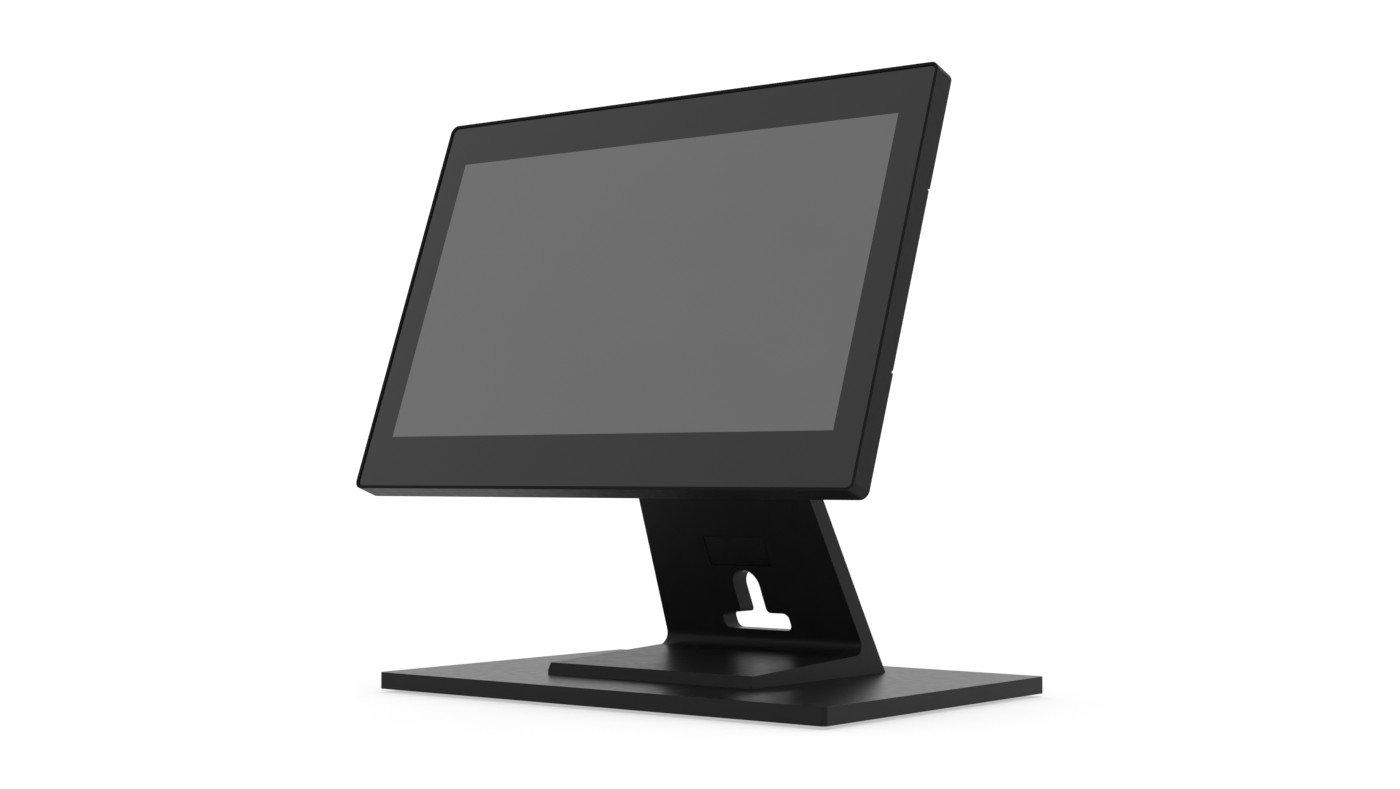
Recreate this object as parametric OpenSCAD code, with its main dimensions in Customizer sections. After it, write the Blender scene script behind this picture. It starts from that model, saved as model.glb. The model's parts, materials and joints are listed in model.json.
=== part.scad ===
// Countertop touchscreen kiosk: a 15.6 inch touch display on a leaning cast stand with a flat base plate.
// Millimetres. +Z up, the screen looks towards -Y, X is the width.
// The origin is on the supporting surface, under the middle of the base plate.

/* [Base] */
// Width of the base plate
base_w = 346; // [290:1:420]
// Depth of the base plate
base_d = 236; // [200:1:290]
// Thickness of the base plate
base_t = 10.5; // [9:0.5:14]
// Radius of the base plate's vertical corners
base_corner_r = 3; // [1:0.5:12]
// Height of the rubber feet
pad_t = 2; // [1:0.5:5]
// Radius of the rubber feet
pad_r = 10; // [6:1:15]
// Distance from the base's sides to the centre of a rubber foot
pad_inset = 24; // [18:1:40]

/* [Stand arm] */
// Width of the arm where it meets the base
arm_w = 161; // [150:1:190]
// Narrowing of each side of the arm, per millimetre of height
arm_taper = 0.107; // [0.05:0.001:0.12]
// Distance of the foot's front edge ahead of the base's middle
foot_front = 61.9; // [55:0.1:80]
// Distance of the arm's rear edge behind the base's middle
arm_back = 79.3; // [75:0.1:100]
// Height of the foot's front edge
foot_t = 7.1; // [6.8:0.1:10]
// How far the foot's front face leans back
foot_lean = 3; // [0:0.5:4]
// Rise of the foot's top towards the neck, in degrees
foot_rise = 2.7; // [0:0.1:5]
// Radius of the foot's front corners
foot_corner_r = 2; // [1:0.5:6]
// Thickness of the neck
neck_t = 13; // [11:0.5:16]
// Forward lean of the neck from upright, in degrees
neck_lean = 24.93; // [20:0.01:28]
// Radius of the fillet between foot and neck
neck_fillet_r = 6.7; // [3:0.1:12]
// Height of the tilt axis above the base plate
hinge_h = 213.1; // [200:0.1:260]

/* [Cable hole] */
// Width of the upright slot
slot_w = 20.8; // [14:0.2:26]
// Width of the cross slot
cross_w = 53.6; // [44:0.2:70]
// Height of the cross slot
cross_h = 11.1; // [9:0.1:16]
// Height of the cross slot's lower edge above the base plate
hole_z = 25.2; // [22:0.2:32]
// Height of the whole hole
hole_h = 39.1; // [32:0.1:44]
// Radius of the cross slot's corners
cross_r = 4; // [2:0.5:4]
// Radius of the inner corners
hole_inner_r = 3; // [1:0.5:5]

/* [Badge] */
// Width of the badge recess
badge_w = 48.6; // [30:0.2:60]
// Height of the badge recess
badge_h = 20.4; // [12:0.2:24]
// Distance between the cable hole's top and the badge recess, along the neck
badge_lift = 2.8; // [1:0.1:20]
// Depth of the badge recess
badge_depth = 1.2; // [0.8:0.1:2]
// Gap round the badge plate
badge_gap = 0.4; // [0.2:0.1:1]

/* [Display head] */
// Backward tilt of the screen at rest, in degrees
tilt = 19.82; // [10:0.01:30]
// Width of the lit area
screen_w = 344.2; // [310:0.2:414]
// Height of the lit area
screen_h = 193.6; // [186:0.2:214]
// Black border left and right of the lit area
border_side = 19.4; // [18:0.1:26]
// Black border above the lit area
border_top = 28.2; // [24:0.1:32]
// Black border below the lit area
border_bottom = 33; // [30:0.1:40]
// Thickness of the cover glass
glass_t = 3; // [2:0.1:4]
// Radius of the glass corners
glass_r = 3.2; // [3:0.1:8]
// Gap between the glass and the raised lip
groove = 0.3; // [0.2:0.1:0.6]
// Width of the raised lip
lip_w = 1.9; // [1.5:0.1:3]
// Height of the lip ahead of the glass
lip_h = 0.8; // [0.3:0.1:1.5]
// Depth of the bezel's side wall behind the glass face
wall_depth = 14.5; // [14:0.1:20]
// Thickness of the bezel's side wall behind the glass
wall_t = 2.3; // [1.8:0.1:2.8]
// Depth of the whole housing behind the glass face
head_depth = 38; // [36:0.5:46]
// Slope of the rear cover at the sides, measured across
flank_side = 28; // [24:1:32]
// Slope of the rear cover at top and bottom, measured across
flank_end = 26; // [22:1:27]
// Wall thickness of the rear cover
cover_t = 2; // [1.6:0.1:2.5]
// Length of the notch in the bezel's side edge
notch_l = 112.2; // [80:0.2:130]
// Depth of the notch in the bezel's side edge
notch_depth = 1.6; // [0.9:0.1:2]

/* [Hinge] */
// Distance of the tilt axis below the middle of the lit area
hinge_drop = 9.3; // [5:0.1:14]
// Radius of the barrel at the neck's top
barrel_r = 13; // [11:0.5:16]
// Width of the barrel
barrel_w = 68; // [60:1:74]
// Radius of the hinge shaft
shaft_r = 5; // [4:0.5:6]
// Thickness of the bracket plate and its ears
bracket_t = 3; // [2.5:0.5:3]
// Hole spacing of the bracket's mounting square
vesa = 100; // [90:1:104]

/* [Power button] */
// Radius of the power button
button_r = 5; // [4:0.5:6]
// Travel of the power button
button_travel = 0.8; // [0.5:0.1:1.2]

/* [Clearances] */
// Gap between the barrel and the bracket plate
barrel_gap = 1; // [0.5:0.1:3]
// Radial clearance of the shaft in its bushes
running_gap = 0.05; // [0.02:0.01:0.1]
// Radial clearance of screws, standoffs and other fixed round pieces
fixed_gap = 0.05; // [0.02:0.01:0.1]
// Side play between the turning and the standing hinge faces
side_play = 0.1; // [0.05:0.05:0.3]
// Gap round pieces that drop into the housing
drop_gap = 0.6; // [0.3:0.1:1]
// Gap round the power button in its hole
button_gap = 0.3; // [0.3:0.05:0.5]

/* [Hidden] */
$fn = 64;
cut = 1; // how far a cutter runs past the face it cuts

// base and foot
base_top = pad_t + base_t;
foot_screw_x = 52;
foot_screw_y = [-(foot_front - 22), arm_back - 30];
base_screw_r = 2.5;
base_screw_head_r = 5;
base_screw_head_t = 3;
base_screw_depth = 5.4; // how deep the screws enter the foot
base_screw_sink = 0.5; // how far the screw heads lie inside the base plate

// where the tilt axis lies behind the glass face, past housing and bracket plate
hinge_reach = head_depth + bracket_t + barrel_gap + barrel_r;

// neck, measured in the Y-Z plane
neck_sin = sin(neck_lean);
neck_cos = cos(neck_lean);
neck_front0 = arm_back - neck_t / neck_cos;
neck_mid0 = arm_back - neck_t / neck_cos / 2;
hinge_y = neck_mid0 - hinge_h * tan(neck_lean);
hinge_z = base_top + hinge_h;
rear_spare = 10; // keeps the plan's rounding off the arm's rear corners
foot_tip_y = -foot_front + foot_lean;
foot_tip_z = base_top + foot_t;
rise = tan(foot_rise);
corner_y = (neck_front0 * neck_cos - (foot_t - rise * foot_tip_y) * neck_sin)
    / (neck_cos + rise * neck_sin);
corner_z = foot_tip_z + rise * (corner_y - foot_tip_y);
fillet_y = (neck_front0 * neck_cos - neck_fillet_r
    - (foot_t - rise * foot_tip_y + neck_fillet_r / cos(foot_rise)) * neck_sin)
    / (neck_cos + rise * neck_sin);
fillet_z = foot_tip_z + rise * (fillet_y - foot_tip_y) + neck_fillet_r / cos(foot_rise);
badge_s = (hole_z + hole_h) / neck_cos + badge_lift + badge_h / 2;
badge_sink = 0.25; // how far the badge plate lies below the neck's face

// head placement: the head's own axes are x, w (back from the glass face) and v (up the screen)
head_y = hinge_y + hinge_drop * sin(tilt) - hinge_reach * cos(tilt);
head_z = hinge_z + hinge_drop * cos(tilt) + hinge_reach * sin(tilt);
hinge_v = -hinge_drop;

// housing, in the head's own axes
glass_w = screen_w + 2 * border_side;
glass_h = screen_h + border_top + border_bottom;
glass_v = (border_top - border_bottom) / 2;
rim = groove + lip_w;
bezel_w = glass_w + 2 * rim;
bezel_h = glass_h + 2 * rim;
ink_t = 0.15;
sensor_t = 0.9;
ledge_w0 = glass_t + ink_t + sensor_t + 0.1;
ledge_w1 = ledge_w0 + 2.4;
panel_margin = 8; // frame of the display panel round its lit area
panel_w = screen_w + 2 * panel_margin;
panel_h = screen_h + 2 * panel_margin;
cell_w0 = ledge_w0 + 0.1;
cell_w1 = cell_w0 + 1.7;
tray_w1 = cell_w1 + 4.4;
chassis_w0 = tray_w1 + 0.2;
chassis_t = 1.2;
chassis_w1 = chassis_w0 + chassis_t;
inner_w = bezel_w - 2 * wall_t;
inner_h = bezel_h - 2 * wall_t;
cover_w = inner_w - 2 * drop_gap;
cover_h = inner_h - 2 * drop_gap;
cover_slope = head_depth - wall_depth;
cover_low = glass_v - cover_h / 2;
cover_high = glass_v + cover_h / 2;
window_w = panel_w + 2;
window_h = panel_h + 2;
cover_corner_r = glass_r - 1;

// hexagon sockets in the screw heads, by thread size
m5_hex_r = 1.7;
m4_hex_r = 1.45;
m3_hex_r = 1.2;
hex_depth = 1.9;

// screws of the housing
m3_r = 1.5;
m3_head_r = 2.75;
m3_head_t = 2;
boss_r = 3.4;
cover_screw_x = [-cover_w / 2 + 14, -cover_w / 4, cover_w / 4, cover_w / 2 - 14];
cover_screw_v = [cover_low + 8, cover_high - 8];
cover_seat_w = 15; // depth at which the cover's screw heads sit
cover_screw_len = cover_seat_w - ledge_w0 - 1.5;
chassis_screw_x = window_w / 2 + 3.5;
chassis_screw_v = [cover_low + 51, cover_high - 54];
chassis_screw_r = 1.25;
chassis_head_r = 2.3;
chassis_head_t = 1.1;
chassis_screw_len = 5;
chassis_boss_r = 2.9;
cover_post_r = 4.6;

// main board and what it carries
board_w = 170;
board_h = 108;
board_v = cover_low + 99;
board_t = 1.6;
board_lift = 6;
board_w0 = chassis_w1 + board_lift;
board_w1 = board_w0 + board_t;
board_hole_x = board_w / 2 - 6;
board_hole_v = board_h / 2 - 6;
board_post_r = 3;
board_screw_len = 6;
chip_t = 1.5;
chip_v = board_v + 22;
sink_w = 74;
sink_h = 46;
sink_base = 3;
sink_fin_h = 8;
fin_count = 13;
fin_t = 1.4;

// cable bay in the rear cover
bay_w = 120;
bay_v = board_v - board_h / 2 - 5; // the bay's upper wall
bay_floor = 16;

// sockets along the bay, as x middles, widths and heights above the board
inlet = [-46, 10, 11];
video = [-24, 15.4, 6.2];
usb_x = [0, 19];
usb_w = 14.2;
usb_h = 7;
network = [43, 16, 12];
socket_gap = 0.3;
socket_v0 = bay_v + 0.5;
socket_v1 = board_v - board_h / 2 + 12;

// panel ribbon cable, from the tray through the chassis to its connector on the board
ribbon_w = 16;
ribbon_x = bay_w / 2 + 14;
ribbon_v = -screen_h / 2 - 2;
ribbon_t = 0.3;
ribbon_top = board_w1 + 5;
plug_v = board_v - board_h / 2 + 14;

// touch controller, speakers and antennas
touch_x = -132;
touch_v = board_v + 10;
touch_lift = 3;
speaker_x = 128;
speaker_v = cover_low + 37;
speaker_w1 = 30;
grille_pitch = 5;
grille_r = 1.3;
antenna_v = cover_high - 28;

// accessory port strips, whose heads lie in the notches in the bezel's sides
strip_t = 2.2;
strip_w0 = chassis_w1 + 0.8;
strip_gap = 0.2;
strip_l = notch_l - 2.4;
strip_sink = 0.5; // how far the strips lie below the bezel's rear edge

// vents
vent_rows = [cover_high - 62, cover_high - 38];
vent_pitch = 9;
vent_half = 14;
vent_w = 3;
vent_h = 16;

// hinge pieces along X
bush_r = shaft_r + 2;
bush_flange_t = 1.5;
bush_len = 16;
washer_t = 1.5;
ear_x0 = barrel_w / 2 + bush_flange_t + side_play + washer_t;
ear_t = bracket_t + 1;
ear_x1 = ear_x0 + ear_t;
nut_x0 = ear_x1 + washer_t;
nut_t = 5;
nut_r = 1.84 * shaft_r;
washer_r = nut_r + 0.3;
shaft_half = nut_x0 + nut_t + 1.5;
cap_t = 1.6;
cap_r = washer_r + 0.7 + cap_t;
ear_r = cap_r + 0.2;
cap_x1 = shaft_half + 0.5 + cap_t;
bracket_w0 = head_depth;
bracket_w1 = head_depth + bracket_t;
bracket_margin = 9;
bracket_corner_r = 8;
bracket_size = vesa + 2 * bracket_margin;
shoulder_z = hinge_z - max(ear_r, barrel_r) - 4;

// bracket screws and standoffs
m4_r = 2;
m4_head_r = 4;
m4_head_t = 2.5;
standoff_r = 5;
m4_len = 11;

// power button and its switch
button_x = -128;
button_v = cover_low + 67;
button_face = head_depth - 0.2;
button_stem_w = 24;
button_stem_r = 2.2;
button_flange_r = button_r + 1.6;
button_flange_w = head_depth - cover_t - 1.2;
switch_top = button_stem_w - button_travel - 0.1;

// --- helpers -------------------------------------------------------------------------------------

// rectangle with round corners, about the origin
module rounded(w, h, r) {
    square([w - 2 * r, h], center = true);
    square([w, h - 2 * r], center = true);
    for (x = [-1, 1])
        for (y = [-1, 1])
            translate([x * (w / 2 - r), y * (h / 2 - r)])
                circle(r);
}

// places a piece drawn in the head's own axes
module on_head() {
    translate([0, head_y, head_z])
        rotate([-tilt, 0, 0])
            children();
}

// an outline in x and v, given depth from w0 to w1
module slab(w0, w1) {
    translate([0, w1, 0])
        rotate([90, 0, 0])
            linear_extrude(w1 - w0)
                children();
}

// an outline in the second and third axes, run along X from x0 to x1
module bar(x0, x1) {
    translate([x0, 0, 0])
        rotate([90, 0, 90])
            linear_extrude(x1 - x0)
                children();
}

// a round pin along X
module x_pin(r, x0, x1) {
    translate([x0, 0, 0])
        rotate([0, 90, 0])
            cylinder(r = r, h = x1 - x0);
}

// a round pin along the head's depth, at x and v
module w_pin(x, v, r, w0, w1) {
    translate([x, w0, v])
        rotate([-90, 0, 0])
            cylinder(r = r, h = w1 - w0);
}

// a box in the head's axes, given by its middle, its width and height, and its two depths
module w_box(x, v, w, h, w0, w1) {
    translate([x - w / 2, w0, v - h / 2])
        cube([w, w1 - w0, h]);
}

// pan-head screw that enters towards the screen, head_w is where the head sits
module head_screw(x, v, r, head_r, head_t, head_w, len) {
    w_pin(x, v, head_r, head_w, head_w + head_t);
    w_pin(x, v, r, head_w - len, head_w + head_t / 2);
}

// mirrored copy as well as the original
module both_sides() {
    children();
    mirror([1, 0, 0])
        children();
}

module at_base_screws() {
    for (x = [-foot_screw_x, foot_screw_x])
        for (y = foot_screw_y)
            translate([x, y, 0])
                children();
}

// --- base ----------------------------------------------------------------------------------------

module base_plate() {
    color("#26272a")
        difference() {
            translate([0, 0, pad_t])
                linear_extrude(base_t)
                    rounded(base_w, base_d, base_corner_r);
            at_base_screws() {
                translate([0, 0, pad_t - cut])
                    cylinder(r = base_screw_r + fixed_gap + 0.25, h = base_t + 2 * cut);
                translate([0, 0, pad_t - cut])
                    cylinder(r = base_screw_head_r + 0.5, h = base_screw_head_t + base_screw_sink + cut);
            }
        }
}

module rubber_feet() {
    color("#151515")
        for (x = [-1, 1])
            for (y = [-1, 1])
                translate([x * (base_w / 2 - pad_inset), y * (base_d / 2 - pad_inset), 0])
                    cylinder(r = pad_r, h = pad_t);
}

module base_screws() {
    color("#8d8f93")
        at_base_screws()
            difference() {
                union() {
                    translate([0, 0, pad_t + base_screw_sink])
                        cylinder(r = base_screw_head_r, h = base_screw_head_t);
                    translate([0, 0, pad_t + base_screw_sink])
                        cylinder(r = base_screw_r, h = base_t - base_screw_sink + base_screw_depth);
                }
                translate([0, 0, pad_t])
                    cylinder(r = m5_hex_r, h = base_screw_sink + hex_depth, $fn = 6);
            }
}

// --- stand arm -----------------------------------------------------------------------------------

// side view of foot and neck, in Y and Z
module arm_outline() {
    polygon([
        [-foot_front, base_top],
        [arm_back, base_top],
        [hinge_y + neck_t / 2 * neck_cos, hinge_z + neck_t / 2 * neck_sin],
        [hinge_y - neck_t / 2 * neck_cos, hinge_z - neck_t / 2 * neck_sin],
        [corner_y, corner_z],
        [foot_tip_y, foot_tip_z]
    ]);
    difference() {
        polygon([
            [corner_y + 0.5, corner_z - 0.5],
            [fillet_y + neck_fillet_r * neck_cos, fillet_z + neck_fillet_r * neck_sin],
            [fillet_y, fillet_z],
            [fillet_y + neck_fillet_r * sin(foot_rise), fillet_z - neck_fillet_r * cos(foot_rise)]
        ]);
        translate([fillet_y, fillet_z])
            circle(neck_fillet_r);
    }
}

// half the arm's width at a height above the base plate
function arm_half(h) = arm_w / 2 - arm_taper * h;

// front view of the arm, in X and Z, with shoulders below the barrel
module arm_silhouette() {
    shoulder_h = shoulder_z - base_top;
    chamfer = 10;
    top_z = hinge_z + barrel_r + cut;
    neck_top = [
        [arm_half(shoulder_h - chamfer), shoulder_z - chamfer],
        [arm_half(shoulder_h) - chamfer, shoulder_z],
        [barrel_w / 2, shoulder_z],
        [barrel_w / 2, top_z]
    ];
    polygon(concat(
        [[arm_half(0), base_top]],
        neck_top,
        [for (i = [3:-1:0]) [-neck_top[i][0], neck_top[i][1]]],
        [[-arm_half(0), base_top]]
    ));
}

// inverted-T hole, in X and Z, for power and data cables
module cable_hole_outline() {
    stem_top = hole_z + hole_h - slot_w / 2;
    inner_z = hole_z + cross_h + hole_inner_r;
    overlap = 0.25;
    translate([0, base_top]) {
        translate([0, hole_z + cross_h / 2])
            rounded(cross_w, cross_h, cross_r);
        translate([-slot_w / 2, hole_z + cross_h / 2])
            square([slot_w, stem_top - hole_z - cross_h / 2]);
        translate([0, stem_top])
            circle(slot_w / 2);
        for (side = [-1, 1])
            difference() {
                translate([side * (slot_w + hole_inner_r) / 2, inner_z - hole_inner_r / 2 - overlap])
                    square([hole_inner_r, hole_inner_r + 2 * overlap], center = true);
                translate([side * (slot_w / 2 + hole_inner_r), inner_z])
                    circle(hole_inner_r);
            }
    }
}

// box on the neck's front face, sunk in by depth, about the badge's middle
module on_neck_front(w, h, depth, proud) {
    translate([0, neck_front0, base_top])
        rotate([neck_lean, 0, 0])
            translate([-w / 2, -proud, badge_s - h / 2])
                cube([w, depth + proud, h]);
}

module stand_arm() {
    color("#1d1e20")
        difference() {
            union() {
                intersection() {
                    bar(-arm_w / 2 - cut, arm_w / 2 + cut)
                        arm_outline();
                    translate([0, arm_back + cut, 0])
                        rotate([90, 0, 0])
                            linear_extrude(foot_front - hinge_y + arm_back + 2 * cut)
                                arm_silhouette();
                    translate([0, (arm_back + rear_spare - foot_front) / 2, 0])
                        linear_extrude(hinge_z + barrel_r + cut)
                            rounded(arm_w, arm_back + rear_spare + foot_front, foot_corner_r);
                }
                translate([0, hinge_y, hinge_z])
                    x_pin(barrel_r, -barrel_w / 2, barrel_w / 2);
            }
            translate([0, arm_back + cut, 0])
                rotate([90, 0, 0])
                    linear_extrude(foot_front + arm_back)
                        cable_hole_outline();
            on_neck_front(badge_w, badge_h, badge_depth, cut);
            translate([0, hinge_y, hinge_z])
                x_pin(bush_r + fixed_gap, -barrel_w / 2 - cut, barrel_w / 2 + cut);
            at_base_screws()
                translate([0, 0, base_top - cut])
                    cylinder(r = base_screw_r + fixed_gap, h = base_screw_depth + 0.2 + cut);
        }
}

module badge_plate() {
    color("#2c2d30")
        on_neck_front(badge_w - 2 * badge_gap, badge_h - 2 * badge_gap, badge_depth, -badge_sink);
}

// --- hinge ---------------------------------------------------------------------------------------

module at_hinge() {
    translate([0, hinge_y, hinge_z])
        children();
}

module hinge_bushes() {
    color("#b08d4f")
        at_hinge()
            both_sides()
                difference() {
                    union() {
                        x_pin(bush_r, barrel_w / 2 - bush_len, barrel_w / 2 + bush_flange_t / 2);
                        x_pin(barrel_r - 1, barrel_w / 2, barrel_w / 2 + bush_flange_t);
                    }
                    x_pin(shaft_r + running_gap, barrel_w / 2 - bush_len - cut, ear_x0);
                }
}

module hinge_shaft() {
    color("#9a9ca0")
        at_hinge()
            x_pin(shaft_r, -shaft_half, shaft_half);
}

module hinge_washers() {
    color("#85878b")
        at_hinge()
            both_sides()
                for (x0 = [ear_x0 - washer_t, ear_x1])
                    difference() {
                        x_pin(washer_r, x0, x0 + washer_t);
                        x_pin(shaft_r + fixed_gap, x0 - cut, x0 + washer_t + cut);
                    }
}

module hinge_nuts() {
    color("#9a9ca0")
        at_hinge()
            both_sides()
                difference() {
                    translate([nut_x0, 0, 0])
                        rotate([0, 90, 0])
                            cylinder(r = nut_r, h = nut_t, $fn = 6);
                    x_pin(shaft_r + fixed_gap, nut_x0 - cut, nut_x0 + nut_t + cut);
                }
}

module hinge_caps() {
    color("#1b1c1e")
        at_hinge()
            both_sides()
                difference() {
                    x_pin(cap_r, ear_x1, cap_x1);
                    x_pin(cap_r - cap_t, ear_x1 - cut, cap_x1 - cap_t);
                }
}

// one ear of the bracket, in w and v, on a foot that is ear_foot high
module ear_outline() {
    ear_foot = 52;
    difference() {
        union() {
            translate([hinge_reach, hinge_v])
                circle(ear_r);
            polygon([
                [bracket_w0, hinge_v - ear_foot / 2],
                [bracket_w0, hinge_v + ear_foot / 2],
                [bracket_w1 + 1, hinge_v + ear_foot / 2],
                [hinge_reach, hinge_v + ear_r],
                [hinge_reach, hinge_v - ear_r],
                [bracket_w1 + 1, hinge_v - ear_foot / 2]
            ]);
        }
        translate([hinge_reach, hinge_v])
            circle(shaft_r + fixed_gap);
    }
}

module at_vesa() {
    for (x = [-vesa / 2, vesa / 2])
        for (v = [hinge_v - vesa / 2, hinge_v + vesa / 2])
            translate([x, 0, v])
                children();
}

module tilt_bracket() {
    color("#222326")
        on_head()
            difference() {
                union() {
                    slab(bracket_w0, bracket_w1)
                        translate([0, hinge_v])
                            rounded(bracket_size, bracket_size, bracket_corner_r);
                    both_sides()
                        bar(ear_x0, ear_x1)
                            ear_outline();
                }
                at_vesa()
                    w_pin(0, 0, m4_r + 0.25, bracket_w0 - cut, bracket_w1 + cut);
            }
}

module bracket_screws() {
    color("#8d8f93")
        on_head()
            at_vesa()
                difference() {
                    head_screw(0, 0, m4_r, m4_head_r, m4_head_t, bracket_w1, m4_len);
                    translate([0, bracket_w1 + m4_head_t - 1.5, 0])
                        rotate([-90, 0, 0])
                            cylinder(r = m4_hex_r, h = hex_depth, $fn = 6);
                }
}

module bracket_standoffs() {
    color("#a3a5a8")
        on_head()
            at_vesa()
                difference() {
                    w_pin(0, 0, standoff_r, chassis_w1, bracket_w0);
                    w_pin(0, 0, m4_r + fixed_gap, bracket_w1 - m4_len - 1, bracket_w0 + cut);
                }
}

// --- housing -------------------------------------------------------------------------------------

// outline about the housing's middle, in x and v
module housing_rect(w, h, r) {
    translate([0, glass_v])
        rounded(w, h, r);
}

module at_cover_screws() {
    for (x = cover_screw_x)
        for (v = cover_screw_v)
            translate([x, 0, v])
                children();
}

module at_chassis_screws() {
    for (x = [-chassis_screw_x, chassis_screw_x])
        for (v = chassis_screw_v)
            translate([x, 0, v])
                children();
}

module at_board_holes() {
    for (x = [-board_hole_x, board_hole_x])
        for (v = [board_v - board_hole_v, board_v + board_hole_v])
            translate([x, 0, v])
                children();
}

module front_bezel() {
    color("#202124")
        on_head()
            difference() {
                union() {
                    difference() {
                        slab(-lip_h, wall_depth)
                            housing_rect(bezel_w, bezel_h, glass_r + rim);
                        slab(-lip_h - cut, ledge_w0)
                            housing_rect(glass_w + 2 * groove, glass_h + 2 * groove, glass_r + groove);
                        slab(ledge_w1, wall_depth + cut)
                            housing_rect(inner_w, inner_h, glass_r);
                        slab(ledge_w0 - cut, ledge_w1 + cut)
                            square([window_w, window_h], center = true);
                    }
                    at_cover_screws()
                        w_pin(0, 0, boss_r, ledge_w0, chassis_w0);
                    at_chassis_screws()
                        w_pin(0, 0, chassis_boss_r, ledge_w0, chassis_w0);
                }
                at_cover_screws()
                    w_pin(0, 0, m3_r + fixed_gap, ledge_w0 + 1, chassis_w0 + cut);
                at_chassis_screws()
                    w_pin(0, 0, chassis_screw_r + fixed_gap, ledge_w0 + 1, chassis_w0 + cut);
                both_sides()
                    w_box(bezel_w / 2, glass_v, 4 * wall_t, notch_l,
                        wall_depth - notch_depth, wall_depth + cut);
            }
}

module cover_glass() {
    color("#3a3c40", 0.5)
        on_head()
            slab(0, glass_t)
                housing_rect(glass_w, glass_h, glass_r);
}

module black_border() {
    color("#0c0c0d")
        on_head()
            slab(glass_t, glass_t + ink_t)
                difference() {
                    housing_rect(glass_w - 1, glass_h - 1, glass_r - 0.5);
                    square([screen_w, screen_h], center = true);
                }
}

module glass_gasket() {
    color("#1a1a1a")
        on_head()
            slab(glass_t + ink_t, ledge_w0)
                difference() {
                    housing_rect(glass_w - 2, glass_h - 2, glass_r - 1);
                    square([window_w, window_h], center = true);
                }
}

module touch_sensor() {
    color("#55585c")
        on_head()
            slab(glass_t + ink_t, glass_t + ink_t + sensor_t)
                square([panel_w - 1, panel_h - 1], center = true);
}

module display_cell() {
    color("#6e6f70")
        on_head()
            slab(cell_w0, cell_w1)
                square([panel_w - 2, panel_h - 2], center = true);
}

module backlight_tray() {
    color("#b9bbbd")
        on_head()
            difference() {
                w_box(0, 0, panel_w, panel_h, cell_w1, tray_w1);
                for (x = [-screen_w / 4, screen_w / 4])
                    w_box(x, 20, screen_w / 2 - 30, screen_h / 2, tray_w1 - 0.6, tray_w1 + cut);
            }
}

module chassis_plate() {
    color("#9fa2a5")
        on_head()
            difference() {
                union() {
                    slab(chassis_w0, chassis_w1)
                        housing_rect(cover_w, cover_h, cover_corner_r);
                    at_board_holes()
                        w_pin(0, 0, board_post_r, chassis_w0, board_w0);
                }
                at_cover_screws()
                    w_pin(0, 0, m3_r + 0.2, chassis_w0 - cut, chassis_w1 + cut);
                at_chassis_screws()
                    w_pin(0, 0, chassis_screw_r + 0.15, chassis_w0 - cut, chassis_w1 + cut);
                at_board_holes()
                    w_pin(0, 0, m3_r + fixed_gap, chassis_w1 + 0.5, board_w0 + cut);
                w_box(ribbon_x, ribbon_v, ribbon_w + 4, 12, chassis_w0 - cut, chassis_w1 + cut);
            }
}

module chassis_screws() {
    color("#8d8f93")
        on_head()
            at_chassis_screws()
                head_screw(0, 0, chassis_screw_r, chassis_head_r, chassis_head_t,
                    chassis_w1, chassis_screw_len);
}

// --- electronics ---------------------------------------------------------------------------------

module main_board() {
    color("#1f5137")
        on_head()
            difference() {
                slab(board_w0, board_w1)
                    translate([0, board_v])
                        rounded(board_w, board_h, 3);
                at_board_holes()
                    w_pin(0, 0, m3_r + 0.15, board_w0 - cut, board_w1 + cut);
                at_vesa()
                    w_pin(0, 0, standoff_r + 1.5, board_w0 - cut, board_w1 + cut);
            }
}

module board_parts() {
    color("#2a2a2c")
        on_head() {
            w_box(0, chip_v, 30, 30, board_w1, board_w1 + chip_t);
            for (x = [-34, 34])
                w_box(x, board_v - 4, 12, 9, board_w1, board_w1 + 1.2);
            for (i = [0:3])
                w_pin(board_w / 2 - 14 - 9 * i, board_v + 34, 3, board_w1, board_w1 + 7);
            w_box(-board_w / 2 + 16, board_v + 8, 14, 14, board_w1, board_w1 + 4.5);
            w_box(-board_w / 2 + 16, board_v - 14, 10, 10, board_w1, board_w1 + 3);
            w_box(ribbon_x, plug_v, ribbon_w + 2, 4, board_w1, ribbon_top);
        }
}

module board_screws() {
    color("#8d8f93")
        on_head()
            at_board_holes()
                head_screw(0, 0, m3_r, m3_head_r, m3_head_t, board_w1, board_screw_len);
}

module heat_sink() {
    sink_w0 = board_w1 + chip_t;
    pitch = (sink_w - fin_t) / (fin_count - 1);
    color("#a9abad")
        on_head() {
            w_box(0, chip_v, sink_w, sink_h, sink_w0, sink_w0 + sink_base);
            for (i = [0:fin_count - 1])
                w_box(-sink_w / 2 + fin_t / 2 + i * pitch, chip_v, fin_t, sink_h,
                    sink_w0 + sink_base / 2, sink_w0 + sink_base + sink_fin_h);
        }
}

module panel_ribbon() {
    ribbon_end = ribbon_v - 3;
    color("#c9a86a")
        on_head()
            bar(ribbon_x - ribbon_w / 2, ribbon_x + ribbon_w / 2)
                polygon([
                    [tray_w1, ribbon_end],
                    [ribbon_top + ribbon_t, ribbon_end],
                    [ribbon_top + ribbon_t, plug_v + 1.5],
                    [ribbon_top, plug_v + 1.5],
                    [ribbon_top, ribbon_end + ribbon_t],
                    [tray_w1 + ribbon_t, ribbon_end + ribbon_t],
                    [tray_w1 + ribbon_t, ribbon_v + 5],
                    [tray_w1, ribbon_v + 5]
                ]);
}

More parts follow.
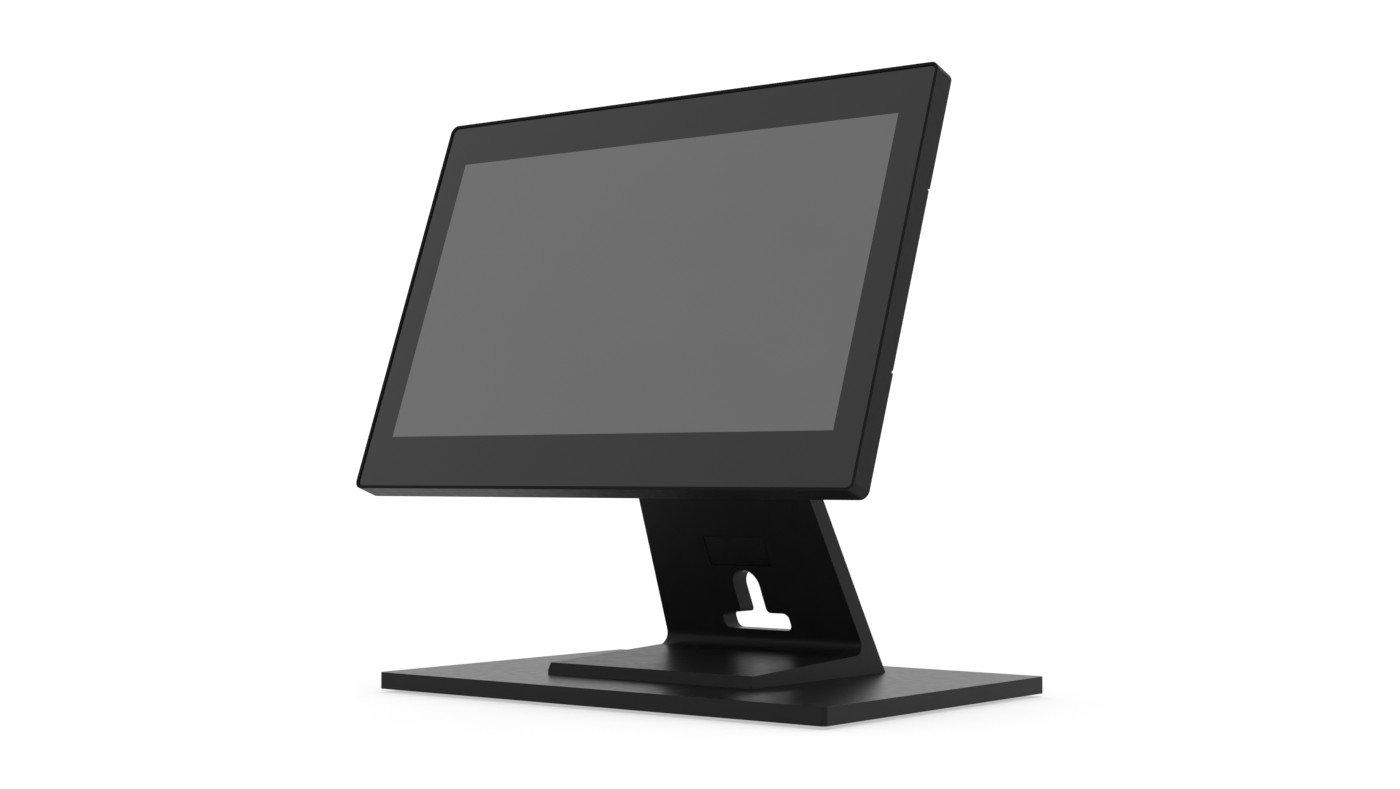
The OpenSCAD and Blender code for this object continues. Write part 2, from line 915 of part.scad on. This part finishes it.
module touch_controller() {
    touch_w0 = chassis_w1 + touch_lift;
    color("#1f5137")
        on_head() {
            w_box(touch_x, touch_v, 22, 58, touch_w0, touch_w0 + 1.2);
            for (v = [touch_v - 24, touch_v + 24])
                w_pin(touch_x, v, 2.5, chassis_w1, touch_w0 + 0.6);
            w_box(touch_x, touch_v, 9, 9, touch_w0 + 0.6, touch_w0 + 2.2);
        }
}

module speakers() {
    color("#18181a")
        on_head()
            both_sides()
                difference() {
                    union() {
                        w_box(speaker_x, speaker_v, 60, 24, chassis_w1, speaker_w1);
                        w_box(speaker_x, speaker_v, 70, 10, chassis_w1, chassis_w1 + 3);
                    }
                    w_pin(speaker_x, speaker_v, 9, speaker_w1 - 1.5, speaker_w1 + cut);
                }
}

module antennas() {
    color("#c7c9cb")
        on_head()
            both_sides()
                w_box(110, antenna_v, 44, 9, chassis_w1, chassis_w1 + 0.8);
}

// body of a socket on the board: middle x, width, height above the board
module socket_body(x, w, h) {
    w_box(x, (socket_v0 + socket_v1) / 2, w, socket_v1 - socket_v0, board_w1, board_w1 + h);
}

// mouth of a socket, open downwards
module socket_mouth(x, w, h, wall, depth) {
    translate([x - w / 2, board_w1 + wall, socket_v0 - cut])
        cube([w, h, depth + cut]);
}

module power_inlet() {
    bore_depth = 9;
    color("#151517")
        on_head() {
            difference() {
                socket_body(inlet[0], inlet[1], inlet[2]);
                translate([inlet[0], board_w1 + inlet[2] / 2, socket_v0 - cut])
                    cylinder(r = 3.2, h = bore_depth + cut);
            }
            translate([inlet[0], board_w1 + inlet[2] / 2, socket_v0 + 1])
                cylinder(r = 1.1, h = bore_depth);
        }
}

module video_socket() {
    color("#b4b6b8")
        on_head() {
            difference() {
                socket_body(video[0], video[1], video[2]);
                socket_mouth(video[0], video[1] - 1.4, video[2] - 1.6, 0.8, 8);
            }
            w_box(video[0], socket_v0 + 5, 11, 8, board_w1 + 2.5, board_w1 + 3.6);
        }
}

module usb_sockets() {
    color("#b4b6b8")
        on_head()
            for (x = usb_x) {
                difference() {
                    socket_body(x, usb_w, usb_h);
                    socket_mouth(x, usb_w - 1.6, usb_h - 1.8, 0.9, 11);
                }
                w_box(x, socket_v0 + 7, 11, 10, board_w1 + 3.4, board_w1 + 5.2);
            }
}

module network_socket() {
    color("#b4b6b8")
        on_head() {
            difference() {
                socket_body(network[0], network[1], network[2]);
                socket_mouth(network[0], network[1] - 4, network[2] - 3, 1.4, 9);
            }
            for (i = [-3.5:1:3.5])
                w_box(network[0] + i * 1.1, socket_v0 + 8, 0.4, 5, board_w1 + 1.2, board_w1 + 2.2);
        }
}

// --- rear cover ----------------------------------------------------------------------------------

// half width of the cover at depth w, for a rim of half width half and a slope of flank
function cover_half(half, flank, w) = half - flank * (w - wall_depth) / cover_slope;

// sideways shift that makes a sloping wall cover_t thick
function wall_shift(flank) = cover_t * sqrt(1 + pow(flank / cover_slope, 2));

// section of the cover in x and w, or in v and w: its half width against depth
module cover_section(half, flank, w0, w1) {
    end = cover_half(half, flank, w1);
    polygon([[-half, w0], [half, w0], [half, wall_depth], [end, w1], [-end, w1], [-half, wall_depth]]);
}

// the cover's solid shape from depth w0 to w1, shrunk sideways by one wall when inner is 1
module cover_solid(w0, w1, inner) {
    half_x = cover_w / 2 - inner * wall_shift(flank_side);
    half_v = cover_h / 2 - inner * wall_shift(flank_end);
    intersection() {
        translate([0, 0, glass_v - cover_h])
            linear_extrude(2 * cover_h)
                cover_section(half_x, flank_side, w0, w1);
        translate([-cover_w, 0, glass_v])
            rotate([0, 90, 0])
                linear_extrude(2 * cover_w)
                    cover_section(half_v, flank_end, w0, w1);
        slab(w0 - cut, w1 + cut)
            housing_rect(2 * half_x, 2 * half_v, cover_corner_r);
    }
}

module vent_slots() {
    for (row = vent_rows)
        for (i = [-vent_half:vent_half])
            translate([i * vent_pitch, head_depth - 2 * cover_t, row]) {
                translate([-vent_w / 2, 0, -vent_h / 2])
                    cube([vent_w, 3 * cover_t, vent_h]);
                for (end = [-vent_h / 2, vent_h / 2])
                    w_pin(0, end, vent_w / 2, 0, 3 * cover_t);
            }
}

module speaker_holes() {
    both_sides()
        for (i = [-3:3])
            for (j = [-1:1])
                w_pin(speaker_x + grille_pitch * i, speaker_v + grille_pitch * j, grille_r,
                    head_depth - 2 * cover_t, head_depth + cut);
}

// windows in the bay's upper wall that the sockets look through
module socket_windows() {
    sockets = concat([inlet, video, network], [for (x = usb_x) [x, usb_w, usb_h]]);
    for (s = sockets)
        w_box(s[0], bay_v + cover_t / 2, s[1] + 2 * socket_gap, 3 * cover_t,
            board_w1 - socket_gap, board_w1 + s[2] + socket_gap);
}

// solid block that the cable bay is cut from, and the posts round the screws
module cover_inside() {
    intersection() {
        cover_solid(chassis_w1, head_depth, 0);
        union() {
            w_box(0, bay_v - bay_w / 2 + cover_t, bay_w + 2 * cover_t, bay_w,
                bay_floor - cover_t, head_depth);
            at_cover_screws()
                w_pin(0, 0, cover_post_r, chassis_w1, head_depth);
        }
    }
}

module rear_cover() {
    color("#232427")
        on_head()
            difference() {
                union() {
                    difference() {
                        cover_solid(chassis_w1, head_depth, 0);
                        cover_solid(chassis_w1 - cut, head_depth - cover_t, 1);
                    }
                    cover_inside();
                }
                w_box(0, bay_v - bay_w / 2, bay_w, bay_w, bay_floor, head_depth + cut);
                socket_windows();
                at_cover_screws() {
                    w_pin(0, 0, m3_head_r + 0.25, cover_seat_w, head_depth + cut);
                    w_pin(0, 0, m3_r + 0.2, chassis_w1 - cut, head_depth);
                }
                at_vesa()
                    w_pin(0, 0, standoff_r + 0.2, head_depth - 2 * cover_t, head_depth + cut);
                vent_slots();
                speaker_holes();
                w_pin(button_x, button_v, button_r + button_gap,
                    head_depth - 2 * cover_t, head_depth + cut);
                both_sides()
                    w_box(cover_w / 2, glass_v, 2 * strip_t, strip_l, strip_w0, wall_depth + cut);
            }
}

module port_covers() {
    length = strip_l - 2 * strip_gap;
    head_w = bezel_w / 2 - cover_w / 2 + strip_t;
    color("#141415")
        on_head()
            both_sides() {
                w_box(cover_w / 2 - strip_t / 2, glass_v, strip_t, length, strip_w0, wall_depth - strip_sink);
                w_box(bezel_w / 2 - head_w / 2, glass_v, head_w, length,
                    wall_depth - notch_depth, wall_depth - strip_sink);
            }
}

module cover_screws() {
    color("#8d8f93")
        on_head()
            at_cover_screws()
                difference() {
                    head_screw(0, 0, m3_r, m3_head_r, m3_head_t, cover_seat_w, cover_screw_len);
                    translate([0, cover_seat_w + 0.8, 0])
                        rotate([-90, 0, 0])
                            cylinder(r = m3_hex_r, h = hex_depth, $fn = 6);
                }
}

// --- power button --------------------------------------------------------------------------------

module button_switch() {
    color("#3a3b3d")
        on_head() {
            w_box(button_x, button_v, 14, 14, chassis_w1, switch_top - 3);
            w_pin(button_x, button_v, 1.75, switch_top - 3.5, switch_top);
        }
}

module power_button() {
    color("#5a5c60")
        on_head() {
            w_pin(button_x, button_v, button_r, button_flange_w, button_face);
            w_pin(button_x, button_v, button_flange_r, button_flange_w - 1, button_flange_w + 0.9);
            w_pin(button_x, button_v, button_stem_r, button_stem_w, button_flange_w);
        }
}

base_plate();
rubber_feet();
base_screws();
stand_arm();
badge_plate();
hinge_bushes();
hinge_shaft();
hinge_washers();
hinge_nuts();
hinge_caps();
tilt_bracket();
bracket_screws();
bracket_standoffs();
front_bezel();
cover_glass();
black_border();
glass_gasket();
touch_sensor();
display_cell();
backlight_tray();
chassis_plate();
chassis_screws();
main_board();
board_parts();
board_screws();
heat_sink();
panel_ribbon();
touch_controller();
speakers();
antennas();
power_inlet();
video_socket();
usb_sockets();
network_socket();
port_covers();
rear_cover();
cover_screws();
button_switch();
power_button();
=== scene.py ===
"""Countertop touchscreen kiosk: materials, rounded edges, stage, light and camera round the frame."""

import json
import math

import bmesh
import bpy
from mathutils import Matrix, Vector

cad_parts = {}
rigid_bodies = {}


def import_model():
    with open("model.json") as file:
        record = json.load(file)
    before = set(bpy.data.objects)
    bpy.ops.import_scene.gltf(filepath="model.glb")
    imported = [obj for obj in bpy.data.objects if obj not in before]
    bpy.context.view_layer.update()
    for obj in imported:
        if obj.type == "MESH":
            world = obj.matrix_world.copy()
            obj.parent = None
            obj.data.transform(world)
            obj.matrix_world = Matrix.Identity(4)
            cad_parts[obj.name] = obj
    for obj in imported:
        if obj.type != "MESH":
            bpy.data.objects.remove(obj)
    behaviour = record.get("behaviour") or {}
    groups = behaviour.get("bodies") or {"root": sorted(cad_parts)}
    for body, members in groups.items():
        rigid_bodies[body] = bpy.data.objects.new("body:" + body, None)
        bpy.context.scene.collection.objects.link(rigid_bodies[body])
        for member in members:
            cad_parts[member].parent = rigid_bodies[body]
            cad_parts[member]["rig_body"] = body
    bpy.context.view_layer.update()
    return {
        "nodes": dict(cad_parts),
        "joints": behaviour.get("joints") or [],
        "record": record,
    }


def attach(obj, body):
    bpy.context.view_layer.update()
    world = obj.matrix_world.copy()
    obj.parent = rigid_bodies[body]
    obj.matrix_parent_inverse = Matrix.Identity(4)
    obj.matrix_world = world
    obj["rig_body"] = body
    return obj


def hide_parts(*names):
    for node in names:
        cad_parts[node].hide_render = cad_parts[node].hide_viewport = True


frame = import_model()

MM = 0.001
WELD = 0.002 * MM  # vertices nearer than this are one
FLAT = math.radians(0.4)  # faces that meet at less than this are one face
SHARP = math.radians(28)  # an edge whose faces meet at more than this is rounded
SMOOTH = math.radians(30)  # faces that meet at less than this are shaded as one surface
ALONG = 0.9  # a unit vector with more than this along an axis points that way
ACROSS = 0.1  # and one with less than this along it lies across it
NOISE_RANGE = (0.3, 0.7)  # where nearly all values of a noise texture lie

slot_of = {part["node"]: part["material_slot"] for part in frame["record"]["subparts"]}
joints = {joint["name"]: joint for joint in frame["joints"]}

# the head's own axes: across, back from the glass and up the screen
across = Vector((1.0, 0.0, 0.0))
depth = -Vector(joints["button_press"]["axis"]).normalized()
upward = across.cross(depth)
hinge = Vector(joints["head_tilt"]["pos_m"])


def turned(direction):
    """A direction of the frame, in the head's own axes."""
    return Vector((direction.dot(across), direction.dot(depth), direction.dot(upward)))


def in_head(point):
    """A point of the frame, in the head's own axes about the tilt axis."""
    return turned(point - hinge)


def head_box(node):
    """Lowest and highest corner of a node in the head's own axes."""
    points = [in_head(vertex.co) for vertex in frame["nodes"][node].data.vertices]
    low = Vector([min(p[i] for p in points) for i in range(3)])
    high = Vector([max(p[i] for p in points) for i in range(3)])
    return low, high


# --- materials -------------------------------------------------------------------------------


class Finish:
    """A procedural material under construction: one principled shader and the nodes that feed it."""

    def __init__(self, name, metallic=0.0, specular=0.5):
        self.material = bpy.data.materials.new(name)
        self.material.use_nodes = True
        self.nodes = self.material.node_tree.nodes
        self.links = self.material.node_tree.links
        self.nodes.clear()
        output = self.nodes.new("ShaderNodeOutputMaterial")
        self.shader = self.nodes.new("ShaderNodeBsdfPrincipled")
        self.links.new(self.shader.outputs["BSDF"], output.inputs["Surface"])
        self.place = self.nodes.new("ShaderNodeTexCoord").outputs["Object"]
        self.set("Metallic", metallic)
        self.set("Specular IOR Level", specular)

    def set(self, socket, value):
        self.shader.inputs[socket].default_value = value

    def noise(self, scale, detail=3.0, stretch=(1.0, 1.0, 1.0)):
        """Noise with cells of about 1/scale metres, squeezed along each axis by stretch."""
        mapping = self.nodes.new("ShaderNodeMapping")
        mapping.inputs["Scale"].default_value = stretch
        self.links.new(self.place, mapping.inputs["Vector"])
        noise = self.nodes.new("ShaderNodeTexNoise")
        noise.inputs["Scale"].default_value = scale
        noise.inputs["Detail"].default_value = detail
        self.links.new(mapping.outputs["Vector"], noise.inputs["Vector"])
        return noise.outputs["Fac"]

    def spread(self, source, low, high):
        """Source's usual range, as values from low to high."""
        ranged = self.nodes.new("ShaderNodeMapRange")
        ranged.inputs["From Min"].default_value = NOISE_RANGE[0]
        ranged.inputs["From Max"].default_value = NOISE_RANGE[1]
        ranged.inputs["To Min"].default_value = low
        ranged.inputs["To Max"].default_value = high
        self.links.new(source, ranged.inputs["Value"])
        return ranged.outputs["Result"]

    def colour(self, source, dark, light):
        """Base colour from dark to light as source goes through its usual range."""
        ramp = self.nodes.new("ShaderNodeValToRGB")
        for element, place, shade in zip(ramp.color_ramp.elements, NOISE_RANGE, (dark, light)):
            element.position = place
            element.color = (*shade, 1.0)
        self.links.new(source, ramp.inputs["Fac"])
        self.links.new(ramp.outputs["Color"], self.shader.inputs["Base Color"])

    def roughness(self, source, low, high):
        self.links.new(self.spread(source, low, high), self.shader.inputs["Roughness"])

    def bump(self, source, height, strength=1.0):
        """Relief of the given height in metres."""
        bump = self.nodes.new("ShaderNodeBump")
        bump.inputs["Strength"].default_value = strength
        bump.inputs["Distance"].default_value = height
        self.links.new(source, bump.inputs["Height"])
        self.links.new(bump.outputs["Normal"], self.shader.inputs["Normal"])


def tinted(colour, factor):
    """A colour made darker or lighter by a factor."""
    return tuple(min(1.0, channel * factor) for channel in colour)


def powder_coat(name, colour, rough, specular):
    """Satin powder coat: faint orange peel under a fine grain."""
    finish = Finish(name, specular=specular)
    finish.colour(finish.noise(55.0, 4.0), tinted(colour, 0.9), tinted(colour, 1.1))
    finish.roughness(finish.noise(160.0, 3.0), rough - 0.03, rough + 0.03)
    finish.bump(finish.noise(900.0, 2.0), 0.012 * MM, 0.6)
    return finish.material


def moulded(name, colour, rough, specular, grain=1600.0, height=0.010):
    """Moulded plastic with the fine even grain of an eroded tool."""
    finish = Finish(name, specular=specular)
    finish.colour(finish.noise(80.0, 3.0), tinted(colour, 0.88), tinted(colour, 1.12))
    finish.roughness(finish.noise(240.0, 2.0), rough - 0.04, rough + 0.04)
    finish.bump(finish.noise(grain, 1.0), height * MM, 0.7)
    return finish.material


def rubber(name, colour):
    finish = Finish(name, specular=0.25)
    finish.colour(finish.noise(120.0, 4.0), tinted(colour, 0.8), tinted(colour, 1.3))
    finish.roughness(finish.noise(300.0), 0.72, 0.88)
    finish.bump(finish.noise(1200.0, 3.0), 0.03 * MM, 0.6)
    return finish.material


def machined(name, colour, rough, stretch):
    """Turned, rolled or drawn metal: fine lines along one direction."""
    finish = Finish(name, metallic=1.0)
    lines = finish.noise(260.0, 6.0, stretch)
    finish.colour(finish.noise(140.0, 3.0), tinted(colour, 0.86), tinted(colour, 1.08))
    finish.roughness(lines, rough - 0.08, rough + 0.1)
    finish.bump(lines, 0.006 * MM, 0.5)
    return finish.material


def bonded_glass(name, colour):
    """Polished glass over what is printed on or bonded to its back, with the faintest wave in its face."""
    finish = Finish(name, specular=0.42)
    finish.colour(finish.noise(14.0, 2.0), tinted(colour, 0.985), tinted(colour, 1.015))
    finish.roughness(finish.noise(18.0), 0.05, 0.08)
    finish.bump(finish.noise(9.0, 1.0), 0.004 * MM, 0.3)
    return finish.material


def clear_film(name):
    """Touch sensor: all but invisible, with a faint trace of its electrode film."""
    finish = Finish(name, specular=0.0)
    finish.colour(finish.noise(40.0), (0.10, 0.10, 0.11), (0.14, 0.14, 0.15))
    finish.roughness(finish.noise(60.0), 0.3, 0.4)
    finish.set("Alpha", 0.03)
    return finish.material


def dark_display(name, grey):
    """Switched-off panel: matt polariser with a hair of mottling."""
    finish = Finish(name, specular=0.2)
    finish.colour(finish.noise(14.0, 2.0), (grey * 0.985,) * 3, (grey * 1.015,) * 3)
    finish.roughness(finish.noise(500.0, 2.0), 0.5, 0.56)
    finish.bump(finish.noise(2400.0, 1.0), 0.004 * MM, 0.5)
    return finish.material


def printed_ink(name, grey):
    finish = Finish(name, specular=0.1)
    finish.colour(finish.noise(30.0, 2.0), (grey * 0.9,) * 3, (grey * 1.1,) * 3)
    finish.roughness(finish.noise(90.0), 0.55, 0.62)
    return finish.material


def circuit_board(name, colour):
    """Solder mask over faint straight traces."""
    finish = Finish(name, specular=0.5)
    traces = finish.nodes.new("ShaderNodeTexBrick")
    traces.inputs["Scale"].default_value = 140.0
    traces.inputs["Mortar Size"].default_value = 0.06
    traces.inputs["Color1"].default_value = (*colour, 1.0)
    traces.inputs["Color2"].default_value = (*tinted(colour, 0.8), 1.0)
    traces.inputs["Mortar"].default_value = (*tinted(colour, 1.7), 1.0)
    finish.links.new(finish.place, traces.inputs["Vector"])
    finish.links.new(traces.outputs["Color"], finish.shader.inputs["Base Color"])
    finish.roughness(finish.noise(200.0), 0.3, 0.42)
    finish.bump(traces.outputs["Fac"], 0.02 * MM, 0.4)
    return finish.material


coat_black = (0.0085, 0.0086, 0.0092)
shell_black = (0.0105, 0.0106, 0.0112)
steel = (0.56, 0.57, 0.59)

# one finish for each material slot of the record
finishes = {
    "base_steel": powder_coat("base_coat", tinted(coat_black, 0.68), 0.34, 0.14),
    "cast_arm": powder_coat("arm_coat", tinted(coat_black, 1.1), 0.36, 0.09),
    "bracket_steel": powder_coat("bracket_coat", tinted(coat_black, 1.4), 0.42, 0.3),
    "foot_rubber": rubber("foot_rubber", (0.02, 0.02, 0.02)),
    "gasket_foam": rubber("gasket_foam", (0.012, 0.012, 0.012)),
    "port_rubber": rubber("port_rubber", (0.012, 0.012, 0.012)),
    "badge_metal": machined("badge_metal", (0.03, 0.03, 0.032), 0.42, (1.0, 30.0, 30.0)),
    "screw_steel": machined("screw_steel", tinted(steel, 0.8), 0.32, (8.0, 8.0, 1.0)),
    "zinc_steel": machined("zinc_steel", steel, 0.4, (1.0, 25.0, 25.0)),
    "tray_metal": machined("tray_metal", (0.66, 0.67, 0.68), 0.36, (1.0, 25.0, 25.0)),
    "sink_aluminium": machined("sink_aluminium", (0.6, 0.61, 0.62), 0.38, (25.0, 1.0, 1.0)),
    "socket_metal": machined("socket_metal", (0.62, 0.62, 0.63), 0.26, (20.0, 20.0, 1.0)),
    "bush_bronze": machined("bush_bronze", (0.52, 0.34, 0.15), 0.34, (1.0, 20.0, 20.0)),
    "black_plastic": moulded("black_shell", tinted(shell_black, 0.68), 0.4, 0.1),
    "chip_black": moulded("chip_black", (0.02, 0.02, 0.021), 0.5, 0.4, 2600.0),
    "inlet_plastic": moulded("inlet_plastic", (0.012, 0.012, 0.012), 0.4, 0.4),
    "speaker_plastic": moulded("speaker_plastic", (0.01, 0.01, 0.01), 0.6, 0.3),
    "switch_plastic": moulded("switch_plastic", (0.03, 0.03, 0.03), 0.5, 0.4),
    "button_plastic": moulded("button_plastic", (0.05, 0.05, 0.052), 0.3, 0.5, 3000.0, 0.004),
    "ribbon_film": moulded("ribbon_film", (0.45, 0.24, 0.06), 0.3, 0.5, 400.0),
    "antenna_film": moulded("antenna_film", (0.55, 0.55, 0.52), 0.5, 0.4, 400.0),
    "clear_glass": bonded_glass("printed_glass", (0.0025, 0.0025, 0.0026)),
    "sensor_glass": clear_film("sensor_film"),
    "display_glass": dark_display("display_cell", 0.12),
    "border_ink": printed_ink("border_ink", 0.004),
    "board_green": circuit_board("board_green", (0.012, 0.07, 0.03)),
}

# the switched-off display, as it shows through the middle of the cover glass
display_face = bonded_glass("display_off", (0.102, 0.102, 0.102))

# the lip round the glass: a rougher, less glossy copy of the shell finish that draws a dark line round the
# screen, painted shade standing in for the shadow in the gap and on the lip's inner side
lip_shade_finish = moulded("lip_shell_painted_shade", tinted(shell_black, 0.68), 0.6, 0.04)


def dress(piece, node):
    """Gives a piece the finish of its node's material slot."""
    piece.data.materials.clear()
    piece.data.materials.append(finishes[slot_of[node]])


# --- rounded copies of the pieces that show ------------------------------------------------------


def any_edge(edge):
    return True


bezel_low, bezel_high = head_box("front_bezel")
bezel_mid = (bezel_low + bezel_high) / 2
bezel_half = (bezel_high - bezel_low) / 2
OUTER = 0.9  # what lies further out than this share of the bezel is on its outside


def outer_edge(edge):
    """True where an edge of the bezel runs round its outside at the back."""
    middle = in_head((edge.verts[0].co + edge.verts[1].co) / 2)
    wall, rear = sorted((turned(face.normal) for face in edge.link_faces), key=lambda normal: abs(normal.y))
    out = Vector((middle.x - bezel_mid.x, 0.0, middle.z - bezel_mid.z))
    reach = max(abs(out.x) / bezel_half.x, abs(out.z) / bezel_half.z)
    corner = abs(rear.y) > ALONG and abs(wall.y) < ACROSS
    outside = wall.dot(out) > 0 and reach > OUTER
    return corner and outside and middle.y > bezel_mid.y


def settle(form):
    """Orders a form's faces by their vertices, since rounding can leave them in another order each run."""
    form.verts.index_update()
    for index, face in enumerate(sorted(form.faces, key=lambda face: [vert.index for vert in face.verts])):
        face.index = index
    form.faces.sort()


def softened(node, *passes):
    """A copy of a CAD node with rounded edges, which stands for it.

    A pass is a test that chooses the edges, the distance they are rounded by, and the number of steps.
    Where an edge has no room its rounding closes up, and the last weld takes away what is left of it.
    """
    form = bmesh.new()
    form.from_mesh(frame["nodes"][node].data)
    bmesh.ops.remove_doubles(form, verts=form.verts[:], dist=WELD)
    bmesh.ops.dissolve_limit(form, angle_limit=FLAT, verts=form.verts[:], edges=form.edges[:])
    for chosen, radius, segments in passes:
        form.normal_update()
        edges = [
            edge
            for edge in form.edges
            if len(edge.link_faces) == 2 and edge.calc_face_angle(0.0) > SHARP and chosen(edge)
        ]
        bmesh.ops.bevel(
            form, geom=edges, offset=radius, offset_type="OFFSET", segments=segments,
            profile=0.5, affect="EDGES", clamp_overlap=True,
        )
    bmesh.ops.remove_doubles(form, verts=form.verts[:], dist=WELD)
    settle(form)
    return stand_in(node, form)


def stand_in(node, form):
    """Turns a form into the piece that stands for a CAD node."""
    mesh = bpy.data.meshes.new(node + "_form")
    form.to_mesh(mesh)
    form.free()
    mesh.shade_smooth()
    mesh.set_sharp_from_angle(angle=SMOOTH)
    piece = bpy.data.objects.new(node + "_form", mesh)
    bpy.context.scene.collection.objects.link(piece)
    weighted = piece.modifiers.new("even_shading", "WEIGHTED_NORMAL")
    weighted.keep_sharp = True
    dress(piece, node)
    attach(piece, frame["nodes"][node]["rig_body"])
    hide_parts(node)
    return piece


def faces_front(face):
    """True where a face looks the way the screen does."""
    return face.normal.dot(depth) < -ALONG


def paint_lip_shade(piece):
    """Gives the bezel's front face, which is the lip round the glass, a darker, duller copy of the shell
    finish: painted shade for the gap round the glass.
    """
    piece.data.materials.append(lip_shade_finish)
    for face in piece.data.polygons:
        if faces_front(face):
            face.material_index = 1


def window():
    """Low and high corner of the opening in the printed border, across and up the screen."""
    points = [in_head(vertex.co) for vertex in frame["nodes"]["black_border"].data.vertices]
    half = min(abs(p.x) for p in points)
    heights = [p.z for p in points if abs(p.x) < half + WELD]
    return (-half, min(heights)), (half, max(heights))


def split_window(piece):
    """Cuts the glass along the edges of the lit area, and gives that area's front the display's look."""
    low, high = window()
    form = bmesh.new()
    form.from_mesh(piece.data)
    for axis, at in ((across, low[0]), (across, high[0]), (upward, low[1]), (upward, high[1])):
        everything = form.verts[:] + form.edges[:] + form.faces[:]
        bmesh.ops.bisect_plane(form, geom=everything, plane_co=hinge + axis * at, plane_no=axis)
    piece.data.materials.append(display_face)
    for face in form.faces:
        middle = in_head(face.calc_center_median())
        inside = low[0] < middle.x < high[0] and low[1] < middle.z < high[1]
        if inside and faces_front(face):
            face.material_index = 1
    form.to_mesh(piece.data)
    form.free()


for name, node in frame["nodes"].items():
    dress(node, name)

softened("base_plate", (any_edge, 0.4 * MM, 3))
softened("rubber_feet", (any_edge, 0.5 * MM, 3))
softened("stand_arm", (any_edge, 0.25 * MM, 2))
softened("badge_plate", (any_edge, 0.2 * MM, 2))
# the bezel's front faces get painted shade, a darker copy of the shell finish, for the gap round the glass
paint_lip_shade(softened("front_bezel", (outer_edge, 0.3 * MM, 3), (any_edge, 0.15 * MM, 2)))
softened("port_covers", (any_edge, 0.15 * MM, 2))
split_window(softened("cover_glass", (any_edge, 0.2 * MM, 2)))
softened("rear_cover", (any_edge, 0.3 * MM, 2))
softened("tilt_bracket", (any_edge, 0.4 * MM, 2))
softened("hinge_caps", (any_edge, 0.6 * MM, 3))
softened("hinge_bushes", (any_edge, 0.2 * MM, 2))
softened("power_button", (any_edge, 0.4 * MM, 3))
softened("bracket_screws", (any_edge, 0.3 * MM, 2))


# --- stage, light and camera ---------------------------------------------------------------------

FLOOR_SIZE = 40.0
FLOOR_GAP = 0.02 * MM
FLOOR_GLOW = 0.5  # the floor is a light table, so that shadows stay faint
WHITE = (1.0, 1.0, 1.0)


def pale_floor():
    """A light table under the feet. It lets rays from below through, so that the underside shows."""
    bpy.ops.mesh.primitive_plane_add(size=FLOOR_SIZE, location=(0.0, 0.0, -FLOOR_GAP))
    floor = bpy.context.object
    floor.name = "floor"
    finish = Finish("pale_floor", specular=0.1)
    finish.colour(finish.noise(3.0), (0.49, 0.49, 0.49), (0.51, 0.51, 0.51))
    finish.roughness(finish.noise(5.0), 0.85, 0.95)
    finish.set("Emission Color", (*WHITE, 1.0))
    finish.set("Emission Strength", FLOOR_GLOW)
    output = finish.shader.outputs["BSDF"].links[0].to_node
    through = finish.nodes.new("ShaderNodeBsdfTransparent")
    sides = finish.nodes.new("ShaderNodeMixShader")
    geometry = finish.nodes.new("ShaderNodeNewGeometry")
    finish.links.new(geometry.outputs["Backfacing"], sides.inputs["Fac"])
    finish.links.new(finish.shader.outputs["BSDF"], sides.inputs[1])
    finish.links.new(through.outputs["BSDF"], sides.inputs[2])
    finish.links.new(sides.outputs["Shader"], output.inputs["Surface"])
    floor.data.materials.append(finish.material)


def white_room(strength):
    """Even white light from all round."""
    world = bpy.data.worlds.new("white_room")
    world.use_nodes = True
    background = world.node_tree.nodes["Background"]
    background.inputs["Color"].default_value = (*WHITE, 1.0)
    background.inputs["Strength"].default_value = strength
    bpy.context.scene.world = world


def camera(place, yaw, pitch, lens):
    """Camera at a place, turned by yaw from the +Y direction and raised by pitch, in degrees."""
    data = bpy.data.cameras.new("camera")
    data.lens = lens
    data.sensor_width = 36.0
    data.clip_end = 100.0
    piece = bpy.data.objects.new("camera", data)
    piece.location = place
    piece.rotation_euler = (math.radians(90.0 + pitch), 0.0, math.radians(yaw))
    bpy.context.scene.collection.objects.link(piece)
    bpy.context.scene.camera = piece


pale_floor()
white_room(1.1)
camera(place=(0.8699, -1.1030, 0.1380), yaw=38.47, pitch=2.05, lens=57.27)
bpy.context.scene.view_settings.view_transform = "Standard"
